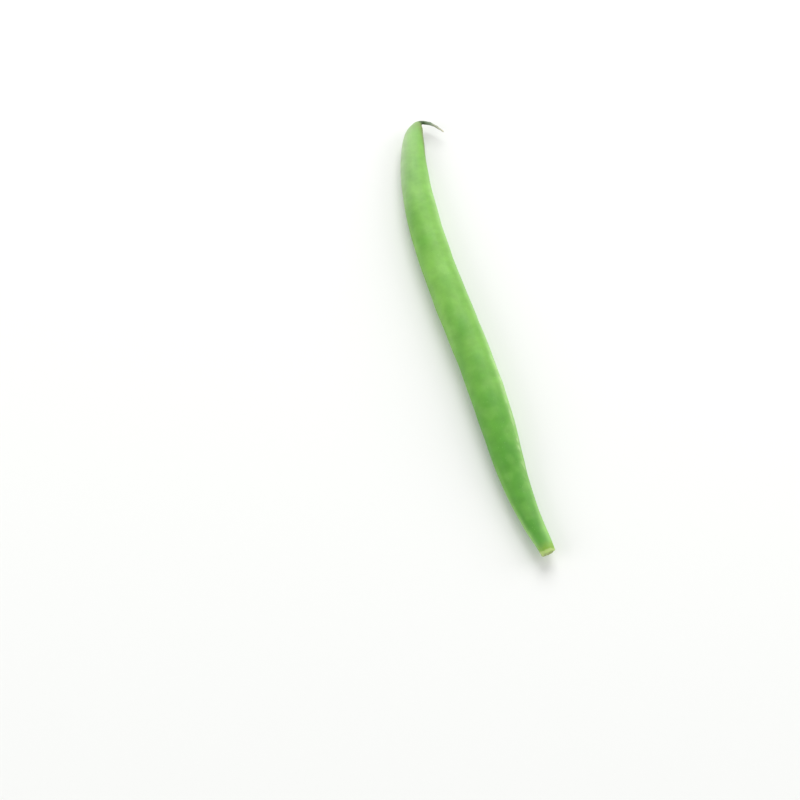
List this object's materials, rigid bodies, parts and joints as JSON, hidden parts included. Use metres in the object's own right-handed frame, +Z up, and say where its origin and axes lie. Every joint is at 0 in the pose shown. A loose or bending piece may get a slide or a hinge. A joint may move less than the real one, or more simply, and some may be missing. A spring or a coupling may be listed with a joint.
{
  "type": "green bean",
  "caption": "Fresh green bean lying on its flank: a long, gently curved pod with a groove along both edges, a trimmed stalk end and a thin hooked beak.",
  "frame": {"origin": "on the table, under the middle of the bean's bounding box", "axes": "+X along the pod from the cut stalk end to the blossom end with the beak, +Y towards the back suture, +Z up"},
  "size_m": [0.1364, 0.0172, 0.0086],
  "materials": {
    "bean_skin": "satin, slightly waxy fresh skin, mid green with paler edges"
  },
  "bodies": {
    "root": {"green_bean": "bean_skin"}
  },
  "joints": []
}
